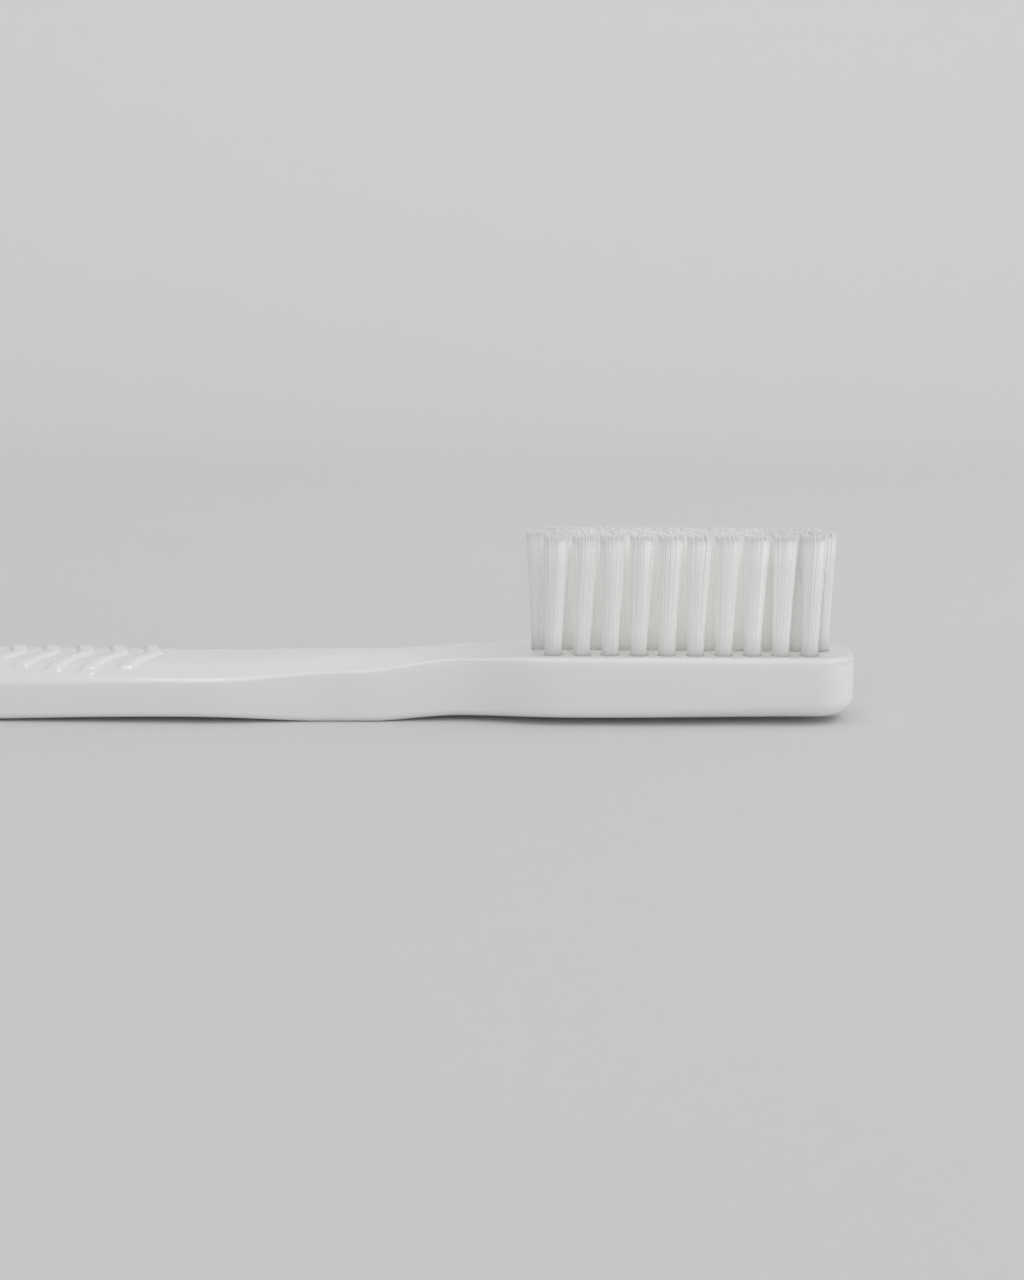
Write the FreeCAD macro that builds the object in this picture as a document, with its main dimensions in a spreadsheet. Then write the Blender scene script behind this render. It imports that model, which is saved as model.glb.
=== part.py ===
import FreeCAD, Part
import math
import os
import re
import Sketcher

# Manual toothbrush lying on its back: X runs along the brush to the tip of the head, Z points up
# along the bristles, and the table is at Z = 0 under the middle of the brush. Lengths are in mm.

SIZES = (
    # The whole brush
    ("overall_length", 185.0),
    # The head: its bristled face is level, and its plan narrows to the tip
    ("head_top", 6.0),
    ("head_thickness", 5.4),
    ("head_width", 10.5),
    ("head_tip_width", 8.8),
    ("head_widest_from_tip", 26.0),
    ("tip_corner_radius", 3.6),
    # The waist between head and grip, where the level top turns into the crown
    ("waist_from_tip", 34.5),
    ("waist_width", 7.9),
    ("waist_top", 5.8),
    ("waist_back", 0.5),
    ("waist_crown_radius", 60.0),
    # The bulge that lies on the table
    ("bulge_from_tip", 44.5),
    ("bulge_width", 9.4),
    ("bulge_top", 5.62),
    # The grip: a crowned bar with an arched back that comes down to a level land at the rear
    ("crown_radius", 10.8),
    ("arch_from_tip", 58.0),
    ("arch_width", 11.9),
    ("arch_height", 0.57),
    ("grip_width", 12.6),
    ("grip_top", 5.32),
    ("land_from_tip", 92.0),
    ("land_depth", 0.1),
    ("butt_from_tip", 150.0),
    ("end_width", 10.6),
    ("end_top", 5.0),
    ("end_corner_radius", 4.6),
    # Rounding along the upper and lower edges
    ("top_edge_radius", 0.5),
    ("back_edge_radius", 1.1),
    # Chevron ribs under the thumb
    ("rib_first_from_tip", 61.9),
    ("rib_pitch", 3.05),
    ("rib_half_span", 4.9),
    ("rib_sweep_back", 1.8),
    ("rib_width", 0.85),
    ("rib_height", 0.32),
    # Tufts and the holes that hold them
    ("tuft_pitch", 2.5),
    ("outer_row_count", 10),
    ("centre_row_count", 11),
    ("last_tuft_from_tip", 4.15),
    ("row_spacing_root", 3.0),
    ("row_spacing_tip", 2.4),
    ("hole_diameter", 1.48),
    ("hole_depth", 3.5),
    ("tuft_clearance", 0.02),
    ("bristle_height", 10.6),
    ("tuft_tip_diameter", 1.95),
    # Flat wire anchors that pin the folded tufts down
    ("anchor_length", 1.8),
    ("anchor_thickness", 0.3),
    ("anchor_height", 1.4),
    ("anchor_clearance", 0.01),
    ("fold_height", 0.6),
    # Cuts start this far outside the material
    ("cut_overrun", 1.0),
)
ALIASES = {alias for alias, value in SIZES}

# Half spans of the chevrons from the head backwards, as shares of the longest one
RIB_SPAN_SHARES = (0.9, 1.0, 0.97, 0.91, 0.62, 0.34)

# The ribs are rooted this far up the grip
RIB_ROOT_SHARE = 0.5

# The form runs through this many evenly spaced cross-sections after the first
SECTION_COUNT = 48

# Named places along the brush, from the tip of the head to the end of the grip: distance from the
# tip, width, height of the back, height of the top, and crown radius, or none where the top is level
HEAD_BACK = "head_top - head_thickness"
LAND_FORM = "0 - land_depth"
PLACES = (
    ("0", "head_tip_width", HEAD_BACK, "head_top", None),
    ("head_widest_from_tip", "head_width", HEAD_BACK, "head_top", None),
    ("waist_from_tip", "waist_width", "waist_back", "waist_top", "waist_crown_radius"),
    ("bulge_from_tip", "bulge_width", LAND_FORM, "bulge_top", "crown_radius"),
    ("arch_from_tip", "arch_width", "arch_height", "grip_top", "crown_radius"),
    ("land_from_tip", "grip_width", LAND_FORM, "grip_top", "crown_radius"),
    ("butt_from_tip", "grip_width", LAND_FORM, "grip_top", "crown_radius"),
    ("overall_length", "end_width", LAND_FORM, "end_top", "crown_radius"),
)

# Rows of tufts: name, tuft count, and side of the middle line
ROWS = (
    ("right", "outer_row_count", -1),
    ("centre", "centre_row_count", 0),
    ("left", "outer_row_count", 1),
)

TIP = "overall_length / 2"
UPRIGHT = FreeCAD.Vector(0, 0, 1)

doc = FreeCAD.newDocument("toothbrush")
sheet = doc.addObject("Spreadsheet::Sheet", "sizes")
for number, (alias, value) in enumerate(SIZES, start=1):
    sheet.set(f"A{number}", alias)
    sheet.set(f"B{number}", str(value))
    sheet.setAlias(f"B{number}", alias)
doc.recompute()


def cell(text):
    """The text with every alias written as a reference to its cell in the sheet."""

    def refer(word):
        return "sizes." + word.group() if word.group() in ALIASES else word.group()

    return re.sub(r"[a-z_]+", refer, text)


def evaluate(text):
    """The value of an expression in the sheet's aliases."""
    return float(sheet.evalExpression(cell(text)))


def bind(owner, **expressions):
    """Bind properties of an object to expressions in the sheet's aliases."""
    for name, text in expressions.items():
        owner.setExpression(name, cell(text))


def bind_place(owner, place, along, across, height):
    """Bind the three coordinates of a placement to expressions."""
    for axis, text in zip("xyz", (along, across, height)):
        owner.setExpression(f"{place}.Base.{axis}", cell(text))


def sketch_on(body, name, role, place, turn=0.0):
    """A sketch on one of the body's origin planes, moved along and turned about its own axes.

    The place is three expressions, and the turn, in degrees, is about the sketch's normal.
    """
    sketch = body.newObject("Sketcher::SketchObject", name)
    support = next(feature for feature in body.Origin.OriginFeatures if feature.Role == role)
    sketch.AttachmentSupport = [(support, "")]
    sketch.MapMode = "FlatFace"
    sketch.AttachmentOffset = FreeCAD.Placement(FreeCAD.Vector(), FreeCAD.Rotation(UPRIGHT, turn))
    bind_place(sketch, "AttachmentOffset", *place)
    return sketch


def dimension(sketch, name, text, kind, *where):
    """A named sketch dimension bound to an expression."""
    index = sketch.addConstraint(Sketcher.Constraint(kind, *where, evaluate(text)))
    sketch.renameConstraint(index, name)
    sketch.setExpression(f"Constraints.{name}", cell(text))


def relate(sketch, kind, *where):
    """A sketch constraint without a size."""
    sketch.addConstraint(Sketcher.Constraint(kind, *where))


def chain(sketch, points, crest=None):
    """Edges round a closed outline through the points, joined end to end.

    Where a crest is given, the third edge is an arc over it. All other edges are straight.
    """
    corners = [FreeCAD.Vector(*point) for point in points]
    edges = []
    for start, end in zip(corners, corners[1:] + corners[:1]):
        curve = Part.LineSegment(start, end)
        if crest is not None and len(edges) == 2:
            curve = Part.Arc(start, FreeCAD.Vector(*crest), end)
        edges.append(sketch.addGeometry(curve))
    for edge, follower in zip(edges, edges[1:] + edges[:1]):
        relate(sketch, "Coincident", edge, 2, follower, 1)
    return edges


def between(start, end, share):
    """An expression part of the way from one expression to another."""
    return f"( {start} ) + {share} * ( ( {end} ) - ( {start} ) )"


def section_at(distance):
    """Width, back, top and crown at a distance from the tip.

    Between two named places each value follows a smooth step, level at both places. The crown is
    blended by its curvature, which is nothing where the top is level.
    """
    pairs = zip(PLACES, PLACES[1:])
    fore, rear = next(pair for pair in pairs if distance <= evaluate(pair[1][0]) or pair[1] is PLACES[-1])
    start, end = evaluate(fore[0]), evaluate(rear[0])
    way = (distance - start) / (end - start)
    share = way**2 * (3 - 2 * way)
    width, back, top = (between(fore[column], rear[column], share) for column in (1, 2, 3))
    bends = [(1 - share, fore[4]), (share, rear[4])]
    terms = [f"{part} / {radius}" for part, radius in bends if radius is not None and part > 0]
    crown = "1 / ( " + " + ".join(terms) + " )" if terms else None
    return width, back, top, crown


def draw_section(body, number):
    """One closed cross-section: level back, upright sides and a level or crowned top."""
    share = number / SECTION_COUNT
    width, back, top, crown = section_at(share * evaluate("overall_length"))
    place = ("0", "0", f"{TIP} - {share} * overall_length")
    sketch = sketch_on(body, f"section_{number:02d}", "YZ_Plane", place)
    half = f"( {width} ) / 2"
    edge = top if crown is None else f"( {top} ) - {crown} + sqrt( ( {crown} )^2 - ( {half} )^2 )"
    side, low, high = evaluate(half), evaluate(back), evaluate(edge)
    corners = [(-side, low), (side, low), (side, high), (-side, high)]
    crest = None if crown is None else (0, evaluate(top))
    bottom, right, upper, left = chain(sketch, corners, crest)
    relate(sketch, "Vertical", right)
    relate(sketch, "Vertical", left)
    relate(sketch, "Symmetric", bottom, 1, bottom, 2, -2)
    relate(sketch, "Equal", right, left)
    dimension(sketch, "width", width, "DistanceX", bottom, 1, bottom, 2)
    dimension(sketch, "side", f"( {edge} ) - ( {back} )", "DistanceY", right, 1, right, 2)
    dimension(sketch, "edge", edge, "DistanceY", -1, 1, right, 2)
    if crown is not None:
        dimension(sketch, "crown", crown, "Radius", upper)
    return sketch


def draw_rectangle(sketch, corner, run, rise):
    """A rectangle given by expressions for its far lower corner, its length back and its height."""
    end, floor = evaluate(corner[0]), evaluate(corner[1])
    length, height = evaluate(run), evaluate(rise)
    points = [(end - length, floor), (end, floor), (end, floor + height), (end - length, floor + height)]
    bottom, right, top, left = chain(sketch, points)
    for line in (bottom, top):
        relate(sketch, "Horizontal", line)
    for line in (left, right):
        relate(sketch, "Vertical", line)
    dimension(sketch, "front", corner[0], "DistanceX", -1, 1, right, 1)
    dimension(sketch, "low", corner[1], "DistanceY", -1, 1, right, 1)
    dimension(sketch, "run", run, "DistanceX", bottom, 1, bottom, 2)
    dimension(sketch, "rise", rise, "DistanceY", right, 1, right, 2)


def round_edges(body, base, name, edges, radius):
    """A fillet along some edges of the last feature."""
    names = [f"Edge{number}" for number, edge in enumerate(base.Shape.Edges, start=1) if edges(edge)]
    fillet = body.newObject("PartDesign::Fillet", name)
    fillet.Base = (base, names)
    bind(fillet, Radius=radius)
    doc.recompute()
    return fillet


def upright_at(place):
    """A test for the upright edges of a flat end at a place along the brush."""

    def accepts(edge):
        first, last = edge.Vertexes[0].Point, edge.Vertexes[-1].Point
        at_end = math.isclose(first.x, place) and math.isclose(last.x, place)
        return at_end and math.isclose(first.y, last.y)

    return accepts


def round_face(feature, choose):
    """A test for the edges round the highest or lowest of the feature's two broad faces."""
    broad = sorted(feature.Shape.Faces, key=lambda face: face.Area)[-2:]
    rim = choose(broad, key=lambda face: face.CenterOfMass.z).OuterWire.Edges
    return lambda edge: any(edge.isSame(other) for other in rim)


def shape_form(body):
    """The smooth outer form, rounded in plan at both ends and along its upper and lower edges."""
    sections = [draw_section(body, number) for number in range(SECTION_COUNT + 1)]
    doc.recompute()
    form = body.newObject("PartDesign::AdditiveLoft", "form")
    form.Profile = sections[0]
    form.Sections = [(section, [""]) for section in sections[1:]]
    doc.recompute()
    end = evaluate(TIP)
    tip = round_edges(body, form, "tip_corners", upright_at(end), "tip_corner_radius")
    butt = round_edges(body, tip, "end_corners", upright_at(-end), "end_corner_radius")
    back = round_edges(body, butt, "back_edges", round_face(butt, min), "back_edge_radius")
    round_edges(body, back, "top_edges", round_face(back, max), "top_edge_radius")


def draw_chevron(sketch, number, share):
    """One chevron in plan: two arms swept back from a point on the middle line."""
    point = f"{TIP} - rib_first_from_tip - {number} * rib_pitch"
    span = f"{share} * rib_half_span"
    sweep = f"{share} * rib_sweep_back"
    slant = "rib_width * sqrt( 1 + ( rib_sweep_back / rib_half_span )^2 )"
    nose, reach, back, depth = (evaluate(text) for text in (point, span, sweep, slant))
    arm, tail = nose - back, nose - back - depth
    upper = [(nose, 0), (arm, reach), (tail, reach)]
    lower = [(nose - depth, 0), (tail, -reach), (arm, -reach)]
    lines = chain(sketch, upper + lower)
    relate(sketch, "PointOnObject", lines[0], 1, -1)
    relate(sketch, "PointOnObject", lines[3], 1, -1)
    relate(sketch, "Symmetric", lines[1], 1, lines[5], 1, -1)
    relate(sketch, "Symmetric", lines[2], 1, lines[4], 1, -1)
    relate(sketch, "Horizontal", lines[1])
    name = f"chevron_{number}"
    dimension(sketch, name + "_nose", point, "DistanceX", -1, 1, lines[0], 1)
    dimension(sketch, name + "_depth", slant, "DistanceX", lines[3], 1, lines[0], 1)
    dimension(sketch, name + "_end", slant, "DistanceX", lines[2], 1, lines[1], 1)
    dimension(sketch, name + "_sweep", sweep, "DistanceX", lines[1], 1, lines[0], 1)
    dimension(sketch, name + "_span", span, "DistanceY", lines[0], 1, lines[1], 1)


def add_ribs(body):
    """Chevron ribs that point to the head, their tops following the crown of the grip."""
    root = f"{RIB_ROOT_SHARE} * grip_top"
    plan = sketch_on(body, "rib_plan", "XY_Plane", ("0", "0", root))
    for number, share in enumerate(RIB_SPAN_SHARES):
        draw_chevron(plan, number, share)
    ribs = body.newObject("PartDesign::Pad", "ribs")
    ribs.Profile = plan
    bind(ribs, Length=f"grip_top - {root} + rib_height + cut_overrun")
    trim = sketch_on(body, "rib_trim", "XZ_Plane", ("0", "grip_top - crown_radius", "0"))
    front = f"{TIP} - rib_first_from_tip + cut_overrun"
    run = f"{len(RIB_SPAN_SHARES)} * rib_pitch + rib_sweep_back + 2 * cut_overrun"
    draw_rectangle(trim, (front, "crown_radius + rib_height"), run, "rib_half_span + cut_overrun")
    tops = body.newObject("PartDesign::Groove", "rib_tops")
    tops.Profile = trim
    tops.ReferenceAxis = (trim, ["H_Axis"])
    doc.recompute()


def cut_land(body):
    """The level lands under the bulge and along the grip that the brush lies on."""
    plan = sketch_on(body, "land_plan", "XY_Plane", ("0", "0", "0"))
    corner = (f"{TIP} - waist_from_tip", "0 - grip_width / 2 - cut_overrun")
    run = "overall_length - waist_from_tip + cut_overrun"
    draw_rectangle(plan, corner, run, "grip_width + 2 * cut_overrun")
    land = body.newObject("PartDesign::Pocket", "land")
    land.Profile = plan
    bind(land, Length="land_depth + cut_overrun")
    doc.recompute()


def row_turn(side):
    """The angle, in degrees, at which a row closes on the middle line towards the tip."""
    drift = evaluate("( row_spacing_root - row_spacing_tip ) / ( tuft_pitch * ( outer_row_count - 1 ) )")
    return -side * math.degrees(math.asin(drift))


def row_start(count, side):
    """Expressions for the first tuft of a row, at the handle end of the head."""
    middle = f"{TIP} - last_tuft_from_tip - tuft_pitch * ( outer_row_count - 1 ) / 2"
    return f"{middle} - tuft_pitch * ( {count} - 1 ) / 2", f"{side} * row_spacing_root"


def sink(body, name, sketch, depth):
    """A pocket below a sketch, to a depth under the bristled face."""
    pocket = body.newObject("PartDesign::Pocket", name)
    pocket.Profile = sketch
    bind(pocket, Length=f"{depth} + cut_overrun")
    return pocket


def drill_row(body, name, count, side):
    """The blind holes of one row, and the slits that their anchors bite into."""
    place = (*row_start(count, side), "head_top + cut_overrun")
    bore = sketch_on(body, f"{name}_bore", "XY_Plane", place, row_turn(side))
    circle = bore.addGeometry(Part.Circle(FreeCAD.Vector(), UPRIGHT, evaluate("hole_diameter / 2")))
    relate(bore, "Coincident", circle, 3, -1, 1)
    dimension(bore, "bore", "hole_diameter", "Diameter", circle)
    hole = sink(body, f"{name}_hole", bore, "hole_depth")
    cross = sketch_on(body, f"{name}_cross", "XY_Plane", place, row_turn(side))
    width = "anchor_thickness + 2 * anchor_clearance"
    length = "anchor_length + 2 * anchor_clearance"
    draw_rectangle(cross, (f"( {width} ) / 2", f"0 - ( {length} ) / 2"), width, length)
    slit = sink(body, f"{name}_slit", cross, "hole_depth - fold_height")
    doc.recompute()
    row = body.newObject("PartDesign::LinearPattern", f"{name}_row")
    row.Originals = [hole, slit]
    row.Direction = (bore, ["H_Axis"])
    bind(row, Length=f"tuft_pitch * ( {count} - 1 )", Occurrences=count)
    body.Tip = row
    doc.recompute()


def build_handle():
    """The one-piece moulding: head, neck and grip, with ribs, tuft holes and anchor slits."""
    body = doc.addObject("PartDesign::Body", "handle")
    shape_form(body)
    add_ribs(body)
    cut_land(body)
    for row in ROWS:
        drill_row(body, *row)
    return body


def build_tuft(label):
    """A bundle of filaments: a root that fills its hole round the anchor, and a flared brush."""
    root = doc.addObject("Part::Cylinder", label + "_root")
    bind(root, Radius="hole_diameter / 2 - tuft_clearance", Height="hole_depth")
    bind_place(root, "Placement", "0", "0", "0 - hole_depth")
    brush = doc.addObject("Part::Cone", label + "_brush")
    bind(brush, Radius1="hole_diameter / 2 - tuft_clearance", Radius2="tuft_tip_diameter / 2")
    bind(brush, Height="bristle_height")
    bundle = doc.addObject("Part::Fuse", label + "_bundle")
    bundle.Base = root
    bundle.Tool = brush
    window = doc.addObject("Part::Box", label + "_window")
    bind(window, Length="anchor_thickness + 2 * anchor_clearance", Width="anchor_length")
    bind(window, Height="anchor_height + 2 * anchor_clearance")
    near = "0 - anchor_thickness / 2 - anchor_clearance"
    low = "fold_height - hole_depth - anchor_clearance"
    bind_place(window, "Placement", near, "0 - anchor_length / 2", low)
    tuft = doc.addObject("Part::Cut", label)
    tuft.Base = bundle
    tuft.Tool = window
    return tuft


def build_anchor(label):
    """A flat wire standing on edge across its hole, between the legs of the folded tuft."""
    anchor = doc.addObject("Part::Box", label)
    bind(anchor, Length="anchor_thickness", Width="anchor_length", Height="anchor_height")
    return anchor


def build_row(name, count, side):
    """The tufts of one row, each a sub-part, and their anchors as one group."""
    along, across = row_start(count, side)
    start = FreeCAD.Vector(evaluate(along), evaluate(across), evaluate("head_top"))
    turn = FreeCAD.Rotation(UPRIGHT, row_turn(side))
    step = FreeCAD.Vector(evaluate("tuft_pitch"), 0, 0)
    low = evaluate("fold_height - hole_depth")
    corner = FreeCAD.Vector(-evaluate("anchor_thickness") / 2, -evaluate("anchor_length") / 2, low)
    tufts, anchors = [], []
    for number in range(int(evaluate(count))):
        place = start + turn.multVec(step * number)
        tuft = build_tuft(f"tuft_{name}_{number + 1:02d}")
        tuft.Placement = FreeCAD.Placement(place, turn)
        tufts.append(tuft)
        anchor = build_anchor(f"anchor_{name}_{number + 1:02d}")
        anchor.Placement = FreeCAD.Placement(place + turn.multVec(corner), turn)
        anchors.append(anchor)
    group = doc.addObject("Part::Compound", f"anchors_{name}_row")
    group.Links = anchors
    return [*tufts, group]


def check(parts):
    """Stop if any object failed or any sub-part is empty or not valid."""
    for item in doc.Objects:
        if {"Invalid", "Error"} & set(item.State):
            raise RuntimeError(f"{item.Label} failed: {item.State}")
    for part in parts:
        if part.Shape.isNull() or not part.Shape.isValid():
            raise RuntimeError(f"{part.Label} has no valid shape")


def main():
    """Build every sub-part, check them and write each to its own file."""
    parts = [build_handle()]
    for row in ROWS:
        parts += build_row(*row)
    doc.recompute()
    check(parts)
    os.makedirs("parts", exist_ok=True)
    for part in parts:
        part.Shape.exportStep(f"parts/{part.Label}.step")


main()
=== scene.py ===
"""Looks of a white manual toothbrush lying on its back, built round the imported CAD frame."""

import logging
import math
from dataclasses import astuple, dataclass, field
from enum import Enum

import bpy
import numpy as np
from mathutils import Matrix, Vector


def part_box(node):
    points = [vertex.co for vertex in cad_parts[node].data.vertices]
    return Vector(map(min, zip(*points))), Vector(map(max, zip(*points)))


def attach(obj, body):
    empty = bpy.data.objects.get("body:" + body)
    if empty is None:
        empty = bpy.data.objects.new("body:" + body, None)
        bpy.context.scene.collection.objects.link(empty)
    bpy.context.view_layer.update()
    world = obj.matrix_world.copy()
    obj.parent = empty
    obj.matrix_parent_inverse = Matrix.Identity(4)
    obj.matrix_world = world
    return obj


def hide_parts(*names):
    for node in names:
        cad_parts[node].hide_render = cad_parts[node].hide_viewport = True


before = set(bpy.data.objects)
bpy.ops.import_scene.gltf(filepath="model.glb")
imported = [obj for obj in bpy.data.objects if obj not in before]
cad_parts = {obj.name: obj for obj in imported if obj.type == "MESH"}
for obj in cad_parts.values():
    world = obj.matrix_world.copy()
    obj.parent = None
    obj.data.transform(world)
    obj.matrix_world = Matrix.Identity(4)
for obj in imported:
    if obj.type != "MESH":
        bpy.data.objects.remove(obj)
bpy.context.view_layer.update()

MM = 0.001
BODY = "root"
SEED = 31
QUARTER_TURN = math.pi / 2
FULL_TURN = 2 * math.pi
LOG = logging.getLogger("toothbrush")

# Sockets of a colour mix, which share their names with those of its other data types
MIX_SHARE, MIX_FIRST, MIX_SECOND, MIX_RESULT = 0, 6, 7, 2

# Soft mottling: how much finer its second noise is, the detail of each, and the middle span of a noise
MOTTLE_FINER = 9.0
MOTTLE_BROAD_DETAIL = 4.0
MOTTLE_FINE_DETAIL = 3.0
NOISE_SPAN = (0.3, 0.7)


def smooth_step(share: np.ndarray) -> np.ndarray:
    """Ease from 0 to 1 with level ends: 3 t squared less 2 t cubed, held at its ends.

    Args:
        share: How far along the step each value lies.

    Returns:
        The eased values.
    """
    held = np.clip(share, 0.0, 1.0)
    return held * held * (3.0 - 2.0 * held)


def make_piece(name: str, points: np.ndarray, faces: list[np.ndarray]) -> bpy.types.Object:
    """Put arrays of points and faces into a new object at the origin, shaded smooth.

    Args:
        name: The piece's name.
        points: Points in millimetres, one row each.
        faces: Arrays of face corners, one array for each count of corners.

    Returns:
        The linked object.
    """
    mesh = bpy.data.meshes.new(name)
    corners = [corner for block in faces for corner in block.tolist()]
    mesh.from_pydata((points * MM).tolist(), [], corners)
    mesh.polygons.foreach_set("use_smooth", np.full(len(mesh.polygons), True))
    mesh.update()
    piece = bpy.data.objects.new(name, mesh)
    bpy.context.scene.collection.objects.link(piece)
    return piece


def grid_faces(corner_numbers: np.ndarray) -> np.ndarray:
    """Quads between neighbouring rows and columns of a grid of point numbers.

    Args:
        corner_numbers: Point numbers, one row per station and one column per place across.

    Returns:
        Four corners per face, in the order that runs along, then across.
    """
    low, high = corner_numbers[:-1], corner_numbers[1:]
    return np.stack([low[:, :-1], high[:, :-1], high[:, 1:], low[:, 1:]], axis=-1).reshape(-1, 4)


def closed_tubes(
    lines: np.ndarray, radii: np.ndarray, sides: int
) -> tuple[np.ndarray, list[np.ndarray]]:
    """Upright closed tubes: a level ring round each point of each line, a flat foot and a pointed cap.

    A ring's point is its centre plus the radius times the cosine and sine of an even turn. The last point
    of a line is its cap.

    Args:
        lines: Points from foot to cap, one row for each tube.
        radii: Radius at each point.
        sides: Points in a ring.

    Returns:
        The points, and the faces by their count of corners.
    """
    count, rings = lines.shape[0], lines.shape[1] - 1
    turn = FULL_TURN * np.arange(sides) / sides
    spokes = np.stack([np.cos(turn), np.sin(turn), np.zeros(sides)], 1)
    rows = lines[:, :-1, None] + radii[:, :-1, None, None] * spokes
    points = np.concatenate([rows.reshape(count, -1, 3), lines[:, -1:]], axis=1)
    numbers = np.arange(rings * sides).reshape(rings, sides)
    closed = np.concatenate([numbers, numbers[:, :1]], axis=1)
    walls = grid_faces(closed)[:, ::-1]
    caps = np.stack([closed[-1, :-1], closed[-1, 1:], np.full(sides, rings * sides)], 1)
    feet = numbers[:1, ::-1]
    shift = (np.arange(count) * points.shape[1])[:, None, None]
    faces = [(shift + block).reshape(-1, block.shape[-1]) for block in (walls, caps, feet)]
    return points.reshape(-1, 3), faces


class SubAssembly:
    """A sub-assembly of the set, which dresses each of its pieces in one material."""

    def dress(self, piece: bpy.types.Object, material: bpy.types.Material) -> None:
        """Give a piece one material in place of any others, and report it.

        Args:
            piece: The piece to dress.
            material: Its material.
        """
        piece.data.materials.clear()
        piece.data.materials.append(material)
        LOG.info("%s: %d faces, %s", piece.name, len(piece.data.polygons), material.name)


class Row(Enum):
    """The three rows of tufts: node name, tuft count, and how far the ends lean along, in millimetres.

    The lean runs from the first tuft, at the handle end, to the last, at the tip.
    """

    RIGHT = ("right", 10, 0.32, 0.16)
    CENTRE = ("centre", 11, -0.04, 0.06)
    LEFT = ("left", 10, 0.05, 0.1)

    @property
    def tufts(self) -> dict[str, float]:
        """The row's tufts, from the handle end to the tip.

        Returns:
            Each tuft node's name with its lean.
        """
        name, count, first, last = self.value
        leans = np.linspace(first, last, count)
        return {f"tuft_{name}_{number:02d}": float(lean) for number, lean in enumerate(leans, start=1)}

    @property
    def anchors(self) -> str:
        """Name of the node that holds the row's anchors."""
        return f"anchors_{self.value[0]}_row"


@dataclass(frozen=True)
class Place:
    """Cross-section of the handle at one distance from the tip, in millimetres.

    The crown is how far the top falls from its middle to its side, and its power says how flat the middle
    is. The edges are the radii of the rounding above and below the sides.
    """

    from_tip: float
    half_width: float
    back: float
    top: float
    crown: float
    power: float
    top_edge: float
    back_edge: float


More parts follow.
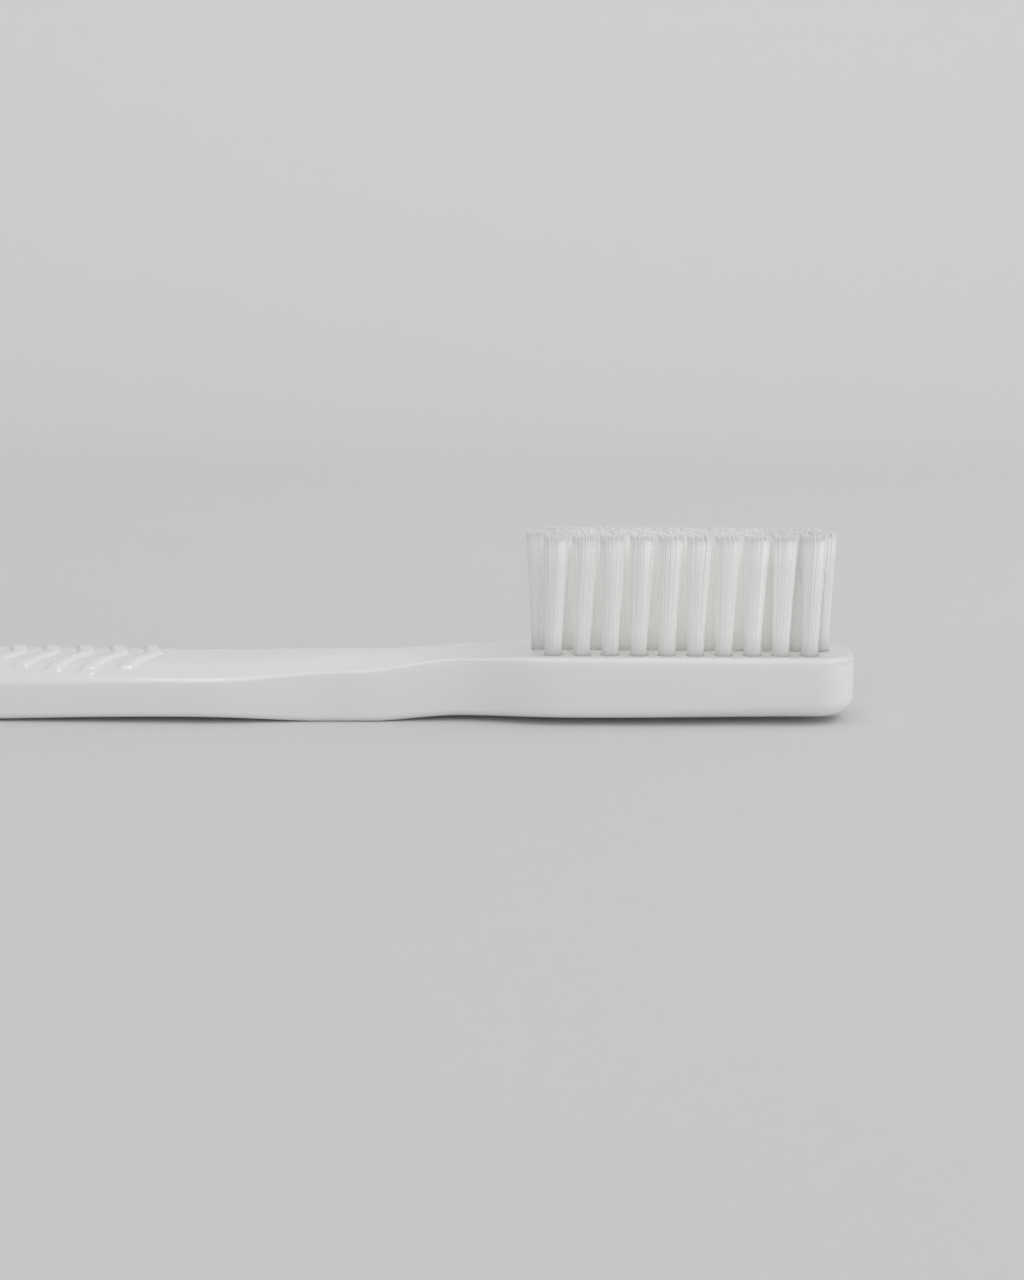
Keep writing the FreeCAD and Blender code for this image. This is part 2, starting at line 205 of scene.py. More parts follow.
@dataclass
class Handle(SubAssembly):
    """The one-piece moulding: head, waisted neck and crowned grip with chevron ribs, in millimetres.

    The feet are where the outline's first and last points meet the middle line, from the tip and the end. A
    run of stations has a start, an end and a step. The points and columns set how fine the surface is.
    """

    length: float = 185.0
    places: tuple[Place, ...] = (
        Place(0.0, 4.4, 0.6, 6.0, 0.0, 2.0, 0.5, 1.6),
        Place(26.0, 5.25, 0.6, 6.0, 0.0, 2.0, 0.45, 0.8),
        Place(34.5, 3.95, 0.45, 5.8, 0.14, 2.0, 0.22, 0.7),
        Place(44.5, 4.7, -0.1, 5.62, 1.1, 2.2, 0.26, 0.6),
        Place(58.0, 5.95, 0.5, 5.08, 1.35, 4.0, 0.4, 0.6),
        Place(92.0, 6.3, -0.1, 5.1, 1.7, 5.0, 1.0, 0.7),
        Place(150.0, 6.3, -0.1, 5.1, 1.7, 4.0, 1.0, 0.8),
        Place(185.0, 5.3, -0.1, 5.0, 1.3, 3.0, 0.9, 1.1),
    )
    tip_corner: float = 3.6
    end_corner: float = 4.6
    tip_foot: float = 2.0
    end_foot: float = 2.4
    rib_first: float = 62.2
    rib_pitch: float = 3.12
    rib_half_span: float = 5.45
    rib_sweep: float = 1.95
    rib_half_width: float = 0.76
    rib_height: float = 0.27
    rib_nose: float = 0.5
    rib_fade: float = 0.8
    rib_span_shares: tuple[float, ...] = (0.9, 1.0, 0.97, 0.91, 0.62, 0.34)
    hole_radius: float = 0.76
    hole_wall: float = 0.14
    hole_depth: float = 0.45
    stations: tuple[tuple[float, float, float], ...] = (
        (3.6, 29.0, 0.13),
        (29.0, 58.0, 0.5),
        (58.0, 82.0, 0.14),
        (82.0, 180.4, 1.6),
    )
    tip_face_points: int = 8
    tip_corner_points: int = 44
    end_corner_points: int = 16
    end_face_points: int = 4
    slope_reach: float = 0.01
    columns: dict[str, int] = field(
        default_factory=lambda: {"back": 4, "back_edge": 8, "side": 3, "top_edge": 7, "top": 38}
    )

    def section(self, from_tip: np.ndarray) -> tuple[np.ndarray, ...]:
        """Sizes of the cross-section: each a smooth step between the named places.

        Args:
            from_tip: Distances from the tip.

        Returns:
            Half width, back, top, crown, power, top edge and back edge at each distance. The back is planed
            off at the table.
        """
        table = np.array([astuple(place) for place in self.places])
        behind = np.clip(np.searchsorted(table[:, 0], from_tip), 1, len(table) - 1)
        fore, rear = table[behind - 1], table[behind]
        share = smooth_step((from_tip - fore[..., 0]) / (rear[..., 0] - fore[..., 0]))[..., None]
        half, back, *rest = np.moveaxis(fore[..., 1:] + share * (rear - fore)[..., 1:], -1, 0)
        return half, np.maximum(back, 0.0), *rest

    def crown(self, from_tip: np.ndarray, across: np.ndarray) -> np.ndarray:
        """Height of the crowned top: the middle height less the crown times a power of the share across.

        Args:
            from_tip: Distances from the tip.
            across: Distances from the middle line.

        Returns:
            The height at each place.
        """
        half, _, top, fall, power, _, _ = self.section(from_tip)
        return top - fall * (np.abs(across) / half) ** power

    def half_outline(self) -> tuple[np.ndarray, np.ndarray, np.ndarray]:
        """One side of the plan, from the middle of the tip to the middle of the end.

        It runs over half of the flat tip, the tip's corner arc, the side, the end's corner arc and half of
        the flat end. Each point has the outward direction of the outline, and a foot on the middle line.

        Returns:
            Plan points, outward directions and feet.
        """
        tip, end = self.tip_corner, self.end_corner
        end_start = self.length - end
        tip_half = self.section(np.array([tip]))[0][0]
        end_half = self.section(np.array([end_start]))[0][0]
        face = np.linspace(0.0, tip_half - tip, self.tip_face_points, endpoint=False)
        turn = np.linspace(0.0, QUARTER_TURN, self.tip_corner_points, endpoint=False)
        blocks = [np.arange(start, stop, step) for start, stop, step in self.stations]
        side = np.concatenate([*blocks, [end_start]])
        half = self.section(side)[0]
        slope = np.gradient(half, side)
        swing = np.linspace(0.0, QUARTER_TURN, self.end_corner_points)[1:]
        rest = np.linspace(end_half - end, 0.0, self.end_face_points)[1:]
        points = np.concatenate([
            np.stack([np.zeros_like(face), face], 1),
            np.stack([tip - tip * np.cos(turn), tip_half - tip + tip * np.sin(turn)], 1),
            np.stack([side, half], 1),
            np.stack([end_start + end * np.sin(swing), end_half - end + end * np.cos(swing)], 1),
            np.stack([np.full_like(rest, self.length), rest], 1),
        ])
        outward = np.concatenate([
            np.stack([-np.ones_like(face), np.zeros_like(face)], 1),
            np.stack([-np.cos(turn), np.sin(turn)], 1),
            np.stack([-slope, np.ones_like(slope)], 1),
            np.stack([np.sin(swing), np.cos(swing)], 1),
            np.stack([np.ones_like(rest), np.zeros_like(rest)], 1),
        ])
        outward /= np.linalg.norm(outward, axis=1, keepdims=True)
        fore = np.linspace(self.tip_foot, tip, len(face) + len(turn), endpoint=False)
        aft = np.linspace(end_start, self.length - self.end_foot, len(swing) + len(rest) + 1)[1:]
        return points, outward, np.concatenate([fore, side, aft])

    def relief(self, from_tip: np.ndarray, across: np.ndarray, holes: np.ndarray) -> np.ndarray:
        """Height added to the top by the ribs and taken away by the tuft holes.

        A rib rises as an eased half round of the distance from the chevron's arms, and fades out at their
        ends. A hole is a sink with a short eased wall.

        Args:
            from_tip: Distances from the tip.
            across: Distances from the middle line.
            holes: Plan places of the hole centres.

        Returns:
            The height change at each place.
        """
        height = np.zeros_like(from_tip)
        arm = math.hypot(self.rib_half_span, self.rib_sweep)
        reach = np.hypot(across, self.rib_nose) - self.rib_nose
        for number, share in enumerate(self.rib_span_shares):
            nose = self.rib_first + number * self.rib_pitch + self.rib_half_width * arm / self.rib_half_span
            behind = from_tip - nose - reach * self.rib_sweep / self.rib_half_span
            away = behind * self.rib_half_span / arm
            ridge = np.sqrt(np.clip(1.0 - (away / self.rib_half_width) ** 2, 0.0, 1.0))
            fade = smooth_step((share * self.rib_half_span - np.abs(across)) / self.rib_fade)
            height = np.maximum(height, self.rib_height * smooth_step(ridge) * fade)
        for centre in holes:
            radius = np.hypot(from_tip - centre[0], across - centre[1])
            wall = (self.hole_radius + self.hole_wall / 2 - radius) / self.hole_wall
            height -= self.hole_depth * smooth_step(wall)
        return height

    def half_surface(self, holes: np.ndarray) -> np.ndarray:
        """Grid of one side: stations along the outline by columns from the back's to the top's middle line.

        The edge profile is carried along the outline: level back, quarter round of the back edge, upright
        side, round of the top edge as far as the crown's own slope, and crowned top.

        Args:
            holes: Plan places of the hole centres.

        Returns:
            Distance from the tip, distance across and height at each grid place.
        """
        points, outward, feet = self.half_outline()
        back = self.section(feet)[1]
        bevel, heel = self.section(points[:, 0])[5:]
        share = {
            name: np.linspace(0.0, 1.0, count, endpoint=False) for name, count in self.columns.items()
        }
        inset = points - heel[:, None] * outward
        middle = np.stack([feet, np.zeros_like(feet)], 1)
        floor = self.section(inset[:, 0])[1]
        under = middle[:, None] + share["back"][None, :, None] * (inset - middle)[:, None]
        under_z = back[:, None] + share["back"] * (floor - back)[:, None]
        turn = share["back_edge"] * QUARTER_TURN
        lower_in = heel[:, None] * (1.0 - np.sin(turn))
        lower = points[:, None] - lower_in[..., None] * outward[:, None]
        lower_z = floor[:, None] + heel[:, None] * (1.0 - np.cos(turn))
        edge = points - bevel[:, None] * outward
        nearer = self.crown(edge[:, 0], edge[:, 1] - self.slope_reach)
        further = self.crown(edge[:, 0], edge[:, 1] + self.slope_reach)
        pitch = (nearer - further) / (2 * self.slope_reach)
        tilt = np.arctan(np.clip(pitch * outward[:, 1], 0.0, None))
        seam = points - (bevel * (1.0 - np.sin(tilt)))[:, None] * outward
        seam_z = self.crown(seam[:, 0], seam[:, 1])
        hinge = seam_z - bevel * np.cos(tilt)
        wall = np.repeat(points[:, None], len(share["side"]), axis=1)
        wall_low = floor + heel
        wall_z = wall_low[:, None] + share["side"] * (hinge - wall_low)[:, None]
        rise = share["top_edge"] * (QUARTER_TURN - tilt)[:, None]
        upper_in = bevel[:, None] * (1.0 - np.cos(rise))
        upper = points[:, None] - upper_in[..., None] * outward[:, None]
        upper_z = hinge[:, None] + bevel[:, None] * np.sin(rise)
        inward = np.linspace(0.0, 1.0, self.columns["top"])
        over = seam[:, None] + inward[None, :, None] * (middle - seam)[:, None]
        over_z = self.crown(over[..., 0], over[..., 1])
        over_z = over_z + self.relief(over[..., 0], over[..., 1], holes)
        plan = np.concatenate([under, lower, wall, upper, over], axis=1)
        height = np.concatenate([under_z, lower_z, wall_z, upper_z, over_z], axis=1)
        return np.concatenate([plan, height[..., None]], axis=-1)

    def build(self, holes: np.ndarray) -> bpy.types.Object:
        """Make the closed handle: one side, its mirror image, and the two middle lines shared.

        Args:
            holes: Places of the hole centres on the head, along and across, in millimetres.

        Returns:
            The handle piece.
        """
        plan_holes = np.stack([self.length / 2 - holes[:, 0], holes[:, 1]], 1)
        side = self.half_surface(plan_holes)
        count, width = side.shape[:2]
        mirror = side[1:-1] * np.array([1.0, -1.0, 1.0])
        loop = np.concatenate([side, mirror[::-1]])
        points = loop.reshape(-1, 3)
        points = np.stack([self.length / 2 - points[:, 0], points[:, 1], points[:, 2]], 1)
        numbers = np.arange(len(points)).reshape(-1, width)
        numbers[count:, 0] = numbers[1 : count - 1, 0][::-1]
        numbers[count:, -1] = numbers[1 : count - 1, -1][::-1]
        numbers = np.concatenate([numbers, numbers[:1]])
        used, packed = np.unique(grid_faces(numbers), return_inverse=True)
        piece = make_piece("handle_moulding", points[used], [packed.reshape(-1, 4)])
        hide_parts("handle")
        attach(piece, BODY)
        return piece


@dataclass
class Tuft(SubAssembly):
    """One bundle of nylon filaments in its hole, packed in the middle and free at the rim and the ends.

    Sizes are in millimetres, and the wander values are spreads of a normal draw. The inner inset and the
    core inset are in filament radii. The profiles run from foot to cap: the share of the height, the girth
    as a share of the radius, and the drop below the end, in radii for a filament and in millimetres for the
    core.
    """

    node: str
    lean_along: float
    face: float = 6.0
    sunk: float = 0.9
    root_radius: float = 0.72
    tip_radius: float = 1.12
    flare: float = 1.3
    strand_radius: float = 0.085
    rim_strands: int = 31
    inner_strands: int = 40
    free_end: float = 1.1
    inner_inset: float = 3.0
    core_below: float = 0.35
    core_inset: float = 0.6
    core_shade: float = 0.5
    sides: int = 6
    core_sides: int = 24
    lean_wander: float = 0.05
    turn_wander: float = 0.1
    end_wander: float = 0.035
    short_wander: float = 0.07
    bow_wander: float = 0.02
    girth_range: tuple[float, float] = (0.9, 1.06)
    height_shares: tuple[float, ...] = (0.0, 0.25, 0.5, 0.75, 1.0, 1.0, 1.0)
    strand_girths: tuple[float, ...] = (1.0, 1.0, 1.0, 1.0, 1.0, 0.8, 0.0)
    strand_drops: tuple[float, ...] = (0.0, 0.0, 0.0, 0.0, 1.0, 0.45, 0.0)
    core_girths: tuple[float, ...] = (1.0, 1.0, 1.0, 1.0, 1.0, 0.7, 0.0)
    core_drops: tuple[float, ...] = (0.0, 0.0, 0.0, 0.0, 0.12, 0.03, 0.0)

    def centre(self) -> tuple[float, float, float]:
        """Where the tuft stands, from the CAD node's box.

        Returns:
            Place of its axis along and across, and the height of its ends, in millimetres.
        """
        low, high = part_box(self.node)
        middle = (low + high) / 2 / MM
        return middle.x, middle.y, high.z / MM

    def lines(
        self, dice: np.random.Generator, top: float, lean: np.ndarray
    ) -> tuple[np.ndarray, np.ndarray]:
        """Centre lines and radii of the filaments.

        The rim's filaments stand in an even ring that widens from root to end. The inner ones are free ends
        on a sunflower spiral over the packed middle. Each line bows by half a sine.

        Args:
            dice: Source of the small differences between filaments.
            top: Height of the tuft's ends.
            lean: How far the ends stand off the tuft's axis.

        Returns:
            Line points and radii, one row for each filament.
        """
        low = self.face - self.sunk
        wander = dice.normal(0.0, self.turn_wander, self.rim_strands)
        turn = FULL_TURN * (np.arange(self.rim_strands) + wander)
        turn = turn / self.rim_strands + dice.uniform(0.0, FULL_TURN)
        ray = np.stack([np.cos(turn), np.sin(turn)], 1)
        order = np.arange(self.inner_strands)
        spin = order * math.pi * (3.0 - math.sqrt(5.0))
        spread = np.sqrt((order + 0.5) / self.inner_strands)
        disc = np.stack([np.cos(spin), np.sin(spin)], 1) * spread[:, None]
        disc = disc * (self.tip_radius - self.inner_inset * self.strand_radius)
        root = np.concatenate([ray * (self.root_radius - self.strand_radius), disc])
        end = np.concatenate([ray * (self.tip_radius - self.strand_radius), disc])
        count = len(root)
        end = end + lean + dice.normal(0.0, self.end_wander, end.shape)
        root[self.rim_strands :] += lean * (1.0 - self.free_end / (top - low))
        foot = np.repeat([low, top - self.free_end], [self.rim_strands, self.inner_strands])
        tall = top - np.abs(dice.normal(0.0, self.short_wander, count))
        radius = self.strand_radius * dice.uniform(*self.girth_range, count)
        share, drop = np.array(self.height_shares), np.array(self.strand_drops)
        bow = np.sin(math.pi * share)[None, :, None] * dice.normal(0.0, self.bow_wander, (count, 1, 2))
        plan = root[:, None] + (share**self.flare)[None, :, None] * (end - root)[:, None] + bow
        height = foot[:, None] + share * (tall - foot)[:, None] - drop * radius[:, None]
        girth = radius[:, None] * np.array(self.strand_girths)
        return np.concatenate([plan, height[..., None]], axis=-1), girth

    def core(self, top: float, lean: np.ndarray) -> tuple[np.ndarray, np.ndarray]:
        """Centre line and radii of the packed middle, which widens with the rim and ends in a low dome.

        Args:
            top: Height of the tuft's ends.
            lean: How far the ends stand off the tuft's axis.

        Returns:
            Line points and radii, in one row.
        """
        low = self.face - self.sunk
        share = np.array(self.height_shares)
        height = low + share * (top - self.core_below - low) - np.array(self.core_drops)
        widening = share**self.flare
        outer = self.root_radius + widening * (self.tip_radius - self.root_radius)
        radius = (outer - self.core_inset * self.strand_radius) * np.array(self.core_girths)
        line = np.concatenate([widening[:, None] * lean, height[:, None]], axis=1)
        return line[None], radius[None]

    def build(self, dice: np.random.Generator) -> bpy.types.Object:
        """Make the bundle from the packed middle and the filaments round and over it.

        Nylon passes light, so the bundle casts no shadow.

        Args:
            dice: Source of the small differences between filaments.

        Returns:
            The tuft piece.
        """
        along, across, top = self.centre()
        lean = dice.normal(0.0, self.lean_wander, 2) + (self.lean_along, 0.0)
        lines, radii = self.lines(dice, top, lean)
        middle, middle_faces = closed_tubes(*self.core(top, lean), self.core_sides)
        strands, strand_faces = closed_tubes(lines, radii, self.sides)
        points = np.concatenate([middle, strands]) + np.array([along, across, 0.0])
        faces = middle_faces + [block + len(middle) for block in strand_faces]
        piece = make_piece(self.node.replace("tuft", "filaments"), points, faces)
        shade = np.repeat(dice.uniform(0.0, 1.0, len(lines)), len(strands) // len(lines))
        shades = np.append(np.full(len(middle), self.core_shade), shade)
        layer = piece.data.attributes.new("strand_shade", "FLOAT", "POINT")
        layer.data.foreach_set("value", shades.astype(np.float32))
        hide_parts(self.node)
        piece.visible_shadow = False
        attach(piece, BODY)
        return piece


@dataclass
class Anchors(SubAssembly):
    """One row of the flat wires that hold the folded tufts down, as the CAD frame has them."""

    row: Row

    def piece(self) -> bpy.types.Object:
        """The CAD node of the row's anchors."""
        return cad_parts[self.row.anchors]


class NodeSketch:
    """Short calls to place and join shader nodes in one tree."""

    def __init__(self, tree: bpy.types.NodeTree) -> None:
        """Keep the tree that the nodes go into."""
        self.tree = tree

    def add(
        self, kind: str, inputs: dict[str | int, object] | None = None, **settings: object
    ) -> bpy.types.Node:
        """Place a node, set its properties, and set or join its inputs.

        Args:
            kind: Blender's name of the node type.
            inputs: Values or output sockets by input name or number.
            settings: Properties of the node.

        Returns:
            The node.
        """
        node = self.tree.nodes.new(kind)
        for name, value in settings.items():
            setattr(node, name, value)
        for name, value in (inputs or {}).items():
            if isinstance(value, bpy.types.NodeSocket):
                self.tree.links.new(value, node.inputs[name])
            else:
                node.inputs[name].default_value = value
        return node

    def maths(self, operation: str, *values: object) -> bpy.types.NodeSocket:
        """Result of a scalar operation on values or sockets."""
        return self.add("ShaderNodeMath", dict(enumerate(values)), operation=operation).outputs[0]

    def vectors(self, operation: str, *values: object) -> bpy.types.NodeSocket:
        """Result of a vector operation on values or sockets."""
        return self.add("ShaderNodeVectorMath", dict(enumerate(values)), operation=operation).outputs[0]

    def blend(self, share: object, first: object, second: object) -> bpy.types.NodeSocket:
        """Colour between a first and a second one, by a share."""
        inputs = {MIX_SHARE: share, MIX_FIRST: first, MIX_SECOND: second}
        return self.add("ShaderNodeMix", inputs, data_type="RGBA").outputs[MIX_RESULT]

    def ramp(
        self, value: object, span: tuple[float, float], low: object = 0.0, high: object = 1.0
    ) -> bpy.types.NodeSocket:
        """Value carried from one span to another in a straight line, held at its ends.

        Args:
            value: The value or socket to carry.
            span: The span that it is read on. It may run downwards.
            low: Result at the start of the span.
            high: Result at the end of the span.

        Returns:
            The result's socket.
        """
        inputs = {"Value": value, "From Min": span[0], "From Max": span[1], "To Min": low, "To Max": high}
        return self.add("ShaderNodeMapRange", inputs).outputs[0]

    def axes(self, place: bpy.types.NodeSocket) -> bpy.types.bpy_prop_collection:
        """The sockets X, Y and Z of a place."""
        return self.add("ShaderNodeSeparateXYZ", {0: place}).outputs

    def place(self) -> bpy.types.NodeSocket:
        """The place on the object, in its own metres."""
        return self.add("ShaderNodeTexCoord").outputs["Object"]


def mottle_group() -> bpy.types.NodeTree:
    """Node group of soft mottling: a colour that wanders between two, a roughness and a fine height.

    Returns:
        The group, with the sockets Place, Scale, Stretch, Light, Dark, Smooth and Rough.
    """
    group = bpy.data.node_groups.new("surface_mottle", "ShaderNodeTree")
    inputs = {"Place": "Vector", "Scale": "Float", "Stretch": "Vector", "Light": "Color", "Dark": "Color",
              "Smooth": "Float", "Rough": "Float"}
    outputs = {"Colour": "Color", "Roughness": "Float", "Height": "Float"}
    for way, sockets in (("INPUT", inputs), ("OUTPUT", outputs)):
        for name, kind in sockets.items():
            group.interface.new_socket(name=name, in_out=way, socket_type=f"NodeSocket{kind}")
    sketch = NodeSketch(group)
    given = sketch.add("NodeGroupInput").outputs
    place = sketch.vectors("MULTIPLY", given["Place"], given["Stretch"])
    finer = sketch.maths("MULTIPLY", given["Scale"], MOTTLE_FINER)
    broad, fine = (
        sketch.add("ShaderNodeTexNoise", {"Vector": place, "Scale": scale, "Detail": detail}).outputs["Fac"]
        for scale, detail in ((given["Scale"], MOTTLE_BROAD_DETAIL), (finer, MOTTLE_FINE_DETAIL))
    )
    colour = sketch.blend(sketch.ramp(broad, NOISE_SPAN), given["Light"], given["Dark"])
    rough = sketch.ramp(fine, NOISE_SPAN, given["Smooth"], given["Rough"])
    sketch.add("NodeGroupOutput", {"Colour": colour, "Roughness": rough, "Height": fine})
    return group


@dataclass(frozen=True)
class Finish:
    """A surface finish: two close colours, a range of roughness and a fine relief.

    The scale and stretch are of the mottling. The level is of the gloss. The glow is light that spreads
    below the surface. Depths are in metres.
    """

    name: str
    light: tuple[float, float, float]
    dark: tuple[float, float, float]
    smooth: float
    rough: float
    scale: float
    stretch: tuple[float, float, float] = (1.0, 1.0, 1.0)
    relief: float = 0.0
    relief_depth: float = 0.00005
    metallic: float = 0.0
    level: float = 0.5
    glow_weight: float = 0.0
    glow_depth: float = 0.001
    glow_reach: tuple[float, float, float] = (1.0, 0.95, 0.9)

    def material(self, group: bpy.types.NodeTree) -> bpy.types.Material:
        """Make the material from the mottling group.

        Args:
            group: The mottling node group.

        Returns:
            The material.
        """
        material = bpy.data.materials.new(self.name)
        material.use_nodes = True
        material.node_tree.nodes.clear()
        sketch = NodeSketch(material.node_tree)
        mottle = sketch.add("ShaderNodeGroup", {
            "Place": sketch.place(),
            "Scale": self.scale,
            "Stretch": self.stretch,
            "Light": (*self.light, 1.0),
            "Dark": (*self.dark, 1.0),
            "Smooth": self.smooth,
            "Rough": self.rough,
        }, node_tree=group)
        bump = sketch.add("ShaderNodeBump", {
            "Height": mottle.outputs["Height"],
            "Strength": self.relief,
            "Distance": self.relief_depth,
        })
        shader = sketch.add("ShaderNodeBsdfPrincipled", {
            "Base Color": self.colour(sketch, mottle.outputs["Colour"]),
            "Roughness": mottle.outputs["Roughness"],
            "Normal": bump.outputs[0],
            "Metallic": self.metallic,
            "Specular IOR Level": self.level,
            "Subsurface Weight": self.glow_weight,
            "Subsurface Scale": self.glow_depth,
            "Subsurface Radius": self.glow_reach,
        })
        sketch.add("ShaderNodeOutputMaterial", {"Surface": shader.outputs[0]})
        return material

    def colour(self, sketch: NodeSketch, mottled: bpy.types.NodeSocket) -> bpy.types.NodeSocket:
        """The colour socket that feeds the shader: the mottled colour as it is."""
        return mottled


@dataclass(frozen=True)
class NylonFinish(Finish):
    """Nylon filaments: each has its own tone at random, and light and shade are painted by place: those
    inside the field stay pale as if lit through the nylon, while those round the outside and all cut ends
    are painted darker.

    The middle and half sizes are of the field of tufts, and the end heights span the painted shade of their
    cut ends, in metres.
    """

    tone_and_painted_shade: tuple[float, float, float] = (0.79, 0.79, 0.785)
    middle: tuple[float, float, float] = (0.07585, 0.0, 0.0)
    half_sizes: tuple[float, float, float] = (0.0134, 0.0039, 1.0)
    painted_rim_span: tuple[float, float] = (0.58, 1.0)
    painted_rim_shade: float = 0.75
    painted_end_heights: tuple[float, float] = (0.0156, 0.0166)
    painted_end_shade: float = 0.75
    strand_dull: float = 0.12

    def colour(self, sketch: NodeSketch, mottled: bpy.types.NodeSocket) -> bpy.types.NodeSocket:
        """Mix the mottled colour with the darker tone: at random by filament, and as painted shade by
        nearness to the outside and by height.

        Args:
            sketch: The material's nodes.
            mottled: The mottled colour.

        Returns:
            The mixed colour.
        """
        shade = sketch.add("ShaderNodeAttribute", attribute_name="strand_shade").outputs["Fac"]
        place = sketch.place()
        height = sketch.axes(place)["Z"]
        spread = sketch.vectors("DIVIDE", sketch.vectors("SUBTRACT", place, self.middle), self.half_sizes)
        sides = sketch.axes(sketch.vectors("ABSOLUTE", spread))
        outside = sketch.maths("MAXIMUM", sides["X"], sides["Y"])
        # Painted light and shade: the inside of the field stays pale as if lit through the nylon, the
        # outside is painted darker.
        rim = sketch.ramp(outside, self.painted_rim_span, high=self.painted_rim_shade)
        # Painted shade: the cut ends are darkened.
        cut = sketch.ramp(height, self.painted_end_heights, high=self.painted_end_shade)
        both = sketch.maths("ADD", rim, cut)
        part = sketch.maths("MULTIPLY_ADD", shade, self.strand_dull, both)
        part.node.use_clamp = True
        return sketch.blend(part, mottled, (*self.tone_and_painted_shade, 1.0))


@dataclass(frozen=True)
class PlasticFinish(Finish):
    """Moulded plastic with a painted shadow of the tufts, which cast none: greyer on the face that the
    tufts stand in and for a short way behind them.

    The face's start along, its side and its height are spans in metres that the painted shadow comes in
    over.
    """

    painted_tuft_shadow_tone: tuple[float, float, float] = (0.69, 0.69, 0.68)
    painted_shadow_start: tuple[float, float] = (0.053, 0.062)
    painted_shadow_side: tuple[float, float] = (0.0046, 0.0036)
    painted_shadow_height: tuple[float, float] = (0.0052, 0.0057)

    def colour(self, sketch: NodeSketch, mottled: bpy.types.NodeSocket) -> bpy.types.NodeSocket:
        """Mix the mottled colour with the painted tuft shadow: by place along, across and up.

        Args:
            sketch: The material's nodes.
            mottled: The mottled colour.

        Returns:
            The mixed colour.
        """
        parts = sketch.axes(sketch.place())
        along = sketch.ramp(parts["X"], self.painted_shadow_start)
        across = sketch.ramp(sketch.maths("ABSOLUTE", parts["Y"]), self.painted_shadow_side)
        up = sketch.ramp(parts["Z"], self.painted_shadow_height)
        # Painted shadow: the plastic is greyer round the tufts in place of the shadow they don't cast.
        share = sketch.maths("MULTIPLY", sketch.maths("MULTIPLY", along, across), up)
        return sketch.blend(share, mottled, (*self.painted_tuft_shadow_tone, 1.0))


@dataclass(frozen=True)
class PaperFinish(Finish):
    """Backdrop paper with painted light: it grows paler with depth, as far as the foot of its cove, where
    the lamps light it less.
    """

    far_painted_light_tone: tuple[float, float, float] = (0.755, 0.755, 0.755)
    painted_light_depths: tuple[float, float] = (0.02, 0.3)

    def colour(self, sketch: NodeSketch, mottled: bpy.types.NodeSocket) -> bpy.types.NodeSocket:
        """Mix the mottled colour with the painted light of the far paper, by depth.

        Args:
            sketch: The material's nodes.
            mottled: The mottled colour.

        Returns:
            The mixed colour.
        """
        # Painted light: the far paper is made paler where the lamps light it less.
        share = sketch.ramp(sketch.axes(sketch.place())["Y"], self.painted_light_depths)
        return sketch.blend(share, mottled, (*self.far_painted_light_tone, 1.0))


PLASTIC = PlasticFinish(
    name="white_moulded_plastic",
    light=(0.80, 0.80, 0.80),
    dark=(0.785, 0.785, 0.785),
    smooth=0.12,
    rough=0.17,
    scale=60.0,
    stretch=(0.35, 1.0, 1.0),
    relief=0.01,
    glow_weight=0.25,
    glow_depth=0.0015,
)
NYLON = NylonFinish(
    name="white_nylon_filament",
    light=(0.955, 0.955, 0.95),
    dark=(0.945, 0.945, 0.935),
    smooth=0.4,
    rough=0.5,
    scale=300.0,
    stretch=(1.0, 1.0, 0.15),
    level=0.3,
)
BRASS = Finish(
    name="flat_brass_wire",
    light=(0.78, 0.57, 0.25),
    dark=(0.66, 0.46, 0.19),
    smooth=0.28,
    rough=0.45,
    scale=700.0,
    metallic=1.0,
    relief=0.1,
)
PAPER = PaperFinish(
    name="pale_grey_backdrop",
    light=(0.695, 0.695, 0.695),
    dark=(0.685, 0.685, 0.685),
    smooth=0.7,
    rough=0.8,
    scale=14.0,
    relief=0.02,
    level=0.2,
)


@dataclass(frozen=True)
class Lamp:
    """A square soft lamp: its place and the side of its panel in millimetres, and its power in watts."""

    name: str
    place: tuple[float, float, float]
    size: float
    power: float

    def hang(self, aim: tuple[float, float, float]) -> None:
        """Hang the lamp and turn it to a point.

        Args:
            aim: The point, in millimetres.
        """
        light = bpy.data.lights.new(self.name, "AREA")
        light.shape = "SQUARE"
        light.size = self.size * MM
        light.energy = self.power
        panel = bpy.data.objects.new(self.name, light)
        panel.location = Vector(self.place) * MM
        beam = Vector(aim) * MM - panel.location
        panel.rotation_euler = beam.to_track_quat("-Z", "Y").to_euler()
        bpy.context.scene.collection.objects.link(panel)


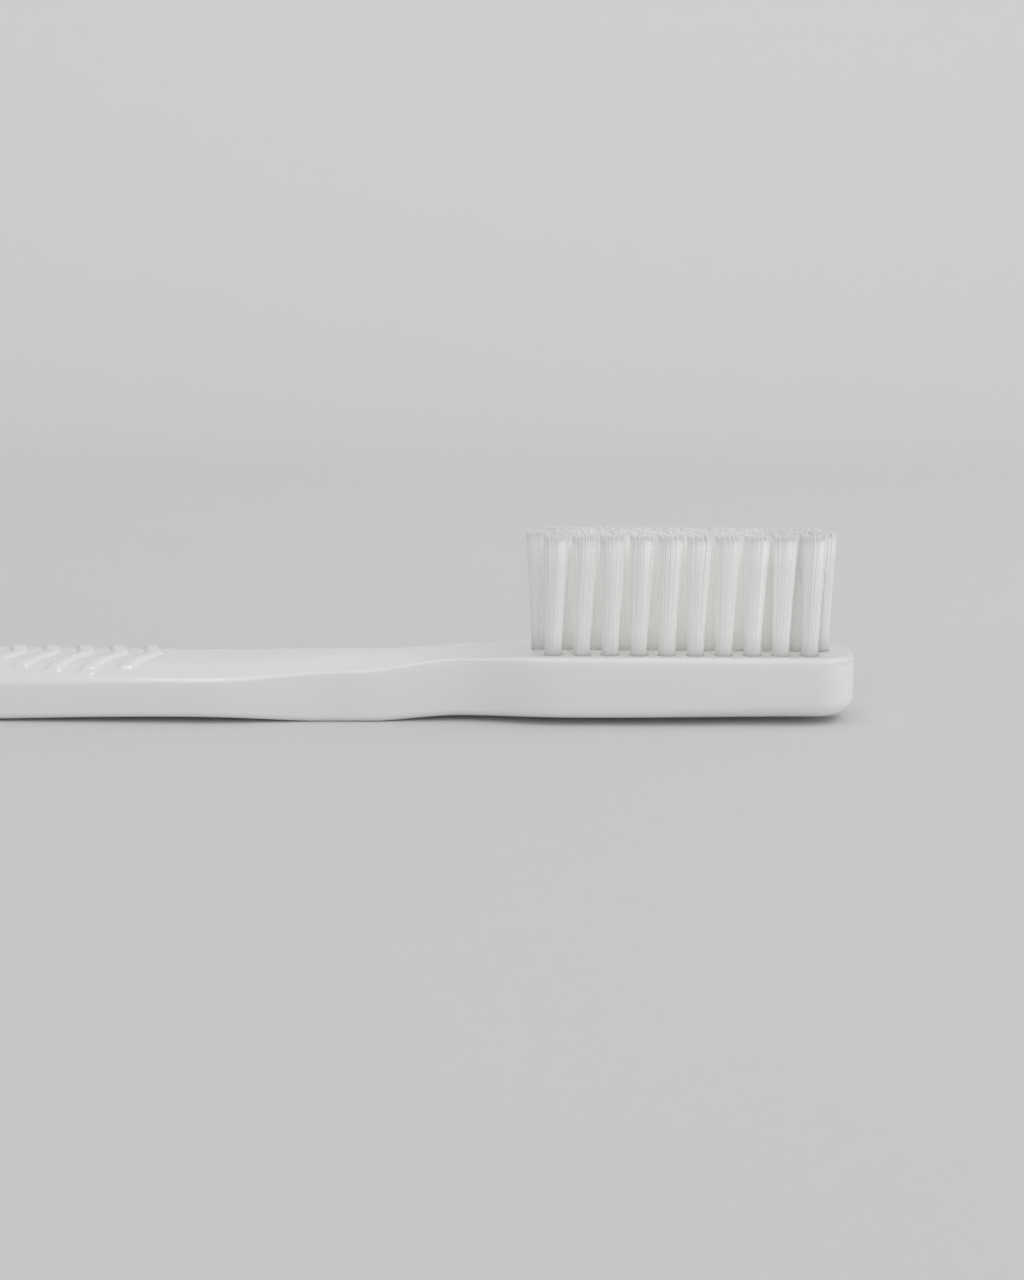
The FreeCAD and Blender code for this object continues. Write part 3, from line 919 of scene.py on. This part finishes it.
@dataclass
class Studio(SubAssembly):
    """Seamless backdrop, soft lamps and the camera.

    Lengths are in millimetres, apart from the camera's clip distances in metres, and angles in degrees. The
    gain is how much brighter the sky grows along each axis.
    """

    floor_near: float = -600.0
    floor_far: float = 260.0
    cove_radius: float = 240.0
    wall_height: float = 900.0
    half_width: float = 900.0
    floor_points: int = 24
    cove_points: int = 24
    wall_points: int = 8
    width_points: int = 19
    horizon: float = 0.965
    zenith: float = 0.535
    gain: tuple[float, float, float] = (0.28, -0.13, 0.0)
    bounces: int = 48
    lamps: tuple[Lamp, ...] = (
        Lamp("panel_right", (330.0, -40.0, 300.0), 260.0, 0.24),
        Lamp("panel_above", (-28.0, -30.0, 400.0), 80.0, 0.085),
    )
    lamp_aim: tuple[float, float, float] = (40.0, 0.0, 5.0)
    target: tuple[float, float, float] = (62.1, 0.0, 6.66)
    distance: float = 160.0
    azimuth: float = 2.8
    elevation: float = 10.45
    focal_pixels: float = 1780.0
    frame_pixels: int = 1024
    sensor: float = 36.0
    clip_near: float = 0.005
    clip_far: float = 10.0

    def backdrop(self) -> bpy.types.Object:
        """Make the sweep: level floor, quarter-round cove and upright wall, carried straight across.

        Returns:
            The backdrop.
        """
        floor = np.linspace(self.floor_near, self.floor_far, self.floor_points, endpoint=False)
        turn = np.linspace(0.0, QUARTER_TURN, self.cove_points)
        wall = np.linspace(self.cove_radius, self.wall_height, self.wall_points)[1:]
        depth = np.concatenate([
            floor,
            self.floor_far + self.cove_radius * np.sin(turn),
            np.full(len(wall), self.floor_far + self.cove_radius),
        ])
        rise = np.concatenate([np.zeros(len(floor)), self.cove_radius * (1.0 - np.cos(turn)), wall])
        width = np.linspace(-self.half_width, self.half_width, self.width_points)
        grid = np.stack(np.broadcast_arrays(width[:, None], depth[None], rise[None]), axis=-1)
        numbers = np.arange(grid.shape[0] * grid.shape[1]).reshape(grid.shape[:2])
        sweep = make_piece("backdrop_sweep", grid.reshape(-1, 3), [grid_faces(numbers)])
        return sweep

    def lights(self) -> None:
        """Light the set: a pale sky and two soft panels.

        The sky's tone runs in a straight line from the horizon to the zenith, plus the gain times the
        direction, so it is brighter round the sides, to the right and in front. Light crosses the white
        bristles many times, so its paths are long.
        """
        world = bpy.data.worlds.new("studio_sky")
        world.use_nodes = True
        world.node_tree.nodes.clear()
        sketch = NodeSketch(world.node_tree)
        direction = sketch.add("ShaderNodeTexCoord").outputs["Generated"]
        tone = sketch.ramp(sketch.axes(direction)["Z"], (0.0, 1.0), self.horizon, self.zenith)
        slant = sketch.vectors("DOT_PRODUCT", direction, self.gain).node.outputs["Value"]
        sky = sketch.add("ShaderNodeBackground", {"Color": sketch.maths("ADD", tone, slant)})
        sketch.add("ShaderNodeOutputWorld", {"Surface": sky.outputs[0]})
        bpy.context.scene.world = world
        for lamp in self.lamps:
            lamp.hang(self.lamp_aim)
        paths = bpy.context.scene.cycles
        paths.max_bounces = paths.diffuse_bounces = self.bounces

    def camera(self) -> None:
        """Stand the camera at the photograph's place and point it at the target."""
        data = bpy.data.cameras.new("photograph_camera")
        data.sensor_fit = "HORIZONTAL"
        data.sensor_width = self.sensor
        data.lens = self.sensor * self.focal_pixels / self.frame_pixels
        data.clip_start = self.clip_near
        data.clip_end = self.clip_far
        turn, lift = math.radians(self.azimuth), math.radians(self.elevation)
        away = Vector((math.sin(turn) * math.cos(lift), -math.cos(turn) * math.cos(lift), math.sin(lift)))
        camera = bpy.data.objects.new("photograph_camera", data)
        camera.location = (Vector(self.target) + self.distance * away) * MM
        camera.rotation_euler = (-away).to_track_quat("-Z", "Y").to_euler()
        bpy.context.scene.collection.objects.link(camera)
        bpy.context.scene.camera = camera


def main() -> None:
    """Build and dress the handle, the tufts, the anchors and the studio, in that order."""
    logging.basicConfig(level=logging.INFO)
    bpy.context.scene.view_settings.view_transform = "Standard"
    group = mottle_group()
    dice = np.random.default_rng(SEED)
    tufts = [Tuft(node, lean) for row in Row for node, lean in row.tufts.items()]
    holes = np.array([tuft.centre()[:2] for tuft in tufts])
    handle = Handle()
    handle.dress(handle.build(holes), PLASTIC.material(group))
    nylon = NYLON.material(group)
    for tuft in tufts:
        tuft.dress(tuft.build(dice), nylon)
    brass = BRASS.material(group)
    for anchors in map(Anchors, Row):
        anchors.dress(anchors.piece(), brass)
    studio = Studio()
    studio.dress(studio.backdrop(), PAPER.material(group))
    studio.lights()
    studio.camera()


if __name__ == "__main__":
    main()
